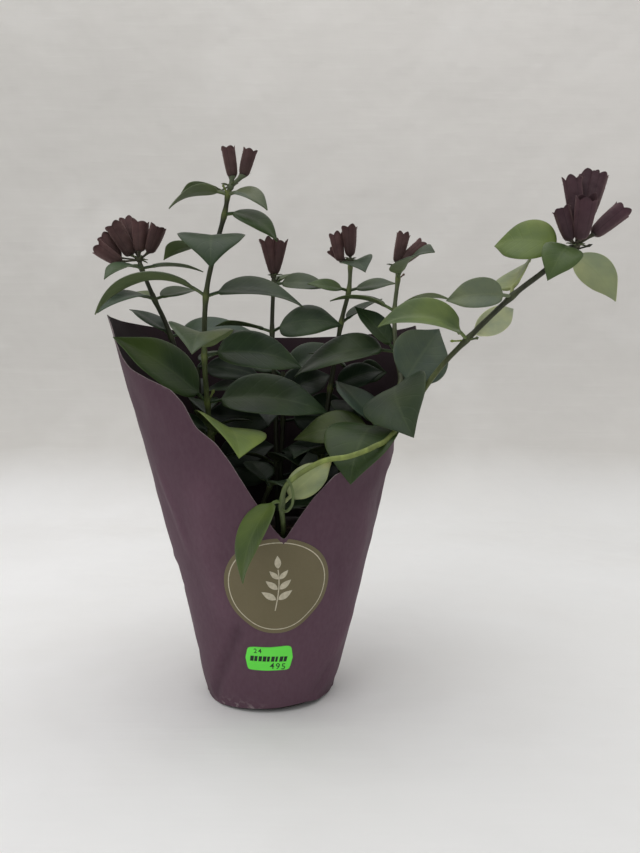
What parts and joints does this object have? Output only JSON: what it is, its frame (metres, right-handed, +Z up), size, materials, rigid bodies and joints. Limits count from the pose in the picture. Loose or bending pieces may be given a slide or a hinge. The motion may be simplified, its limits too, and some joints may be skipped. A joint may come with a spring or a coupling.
{
  "type": "potted lipstick plant",
  "caption": "Flowering lipstick plant in its nursery pot, standing in a tapered paper sleeve cut to a V in front.",
  "frame": {"origin": "middle of the pot's foot, on the surface it stands on", "axes": "+Z up, -Y towards the viewer of the sleeve's V, +X to that viewer's right"},
  "size_m": [0.3, 0.1786, 0.3246],
  "materials": {
    "sleeve_paper": "dusky plum coated paper, softly creased",
    "label_khaki": "satin khaki paper label",
    "label_green": "fluorescent green price-gun label",
    "pot_plastic": "thin thermoformed plastic",
    "compost": "damp peat compost",
    "leaf_green": "waxy leaf, paler and matt underneath",
    "calyx": "finely haired maroon"
  },
  "bodies": {
    "root": {"sleeve": "sleeve_paper", "label_round": "label_khaki", "label_price": "label_green", "pot": "pot_plastic", "soil": "compost", "stem_A": "leaf_green", "stem_B": "leaf_green", "stem_C": "leaf_green", "stem_D": "leaf_green", "stem_E": "leaf_green", "stem_F": "leaf_green", "stem_G": "leaf_green", "stem_H": "leaf_green", "stem_I": "leaf_green", "stem_J": "leaf_green", "bloom_A": "calyx", "bloom_B": "calyx", "bloom_C": "calyx", "bloom_D": "calyx", "bloom_E": "calyx", "bloom_F": "calyx"}
  },
  "joints": []
}
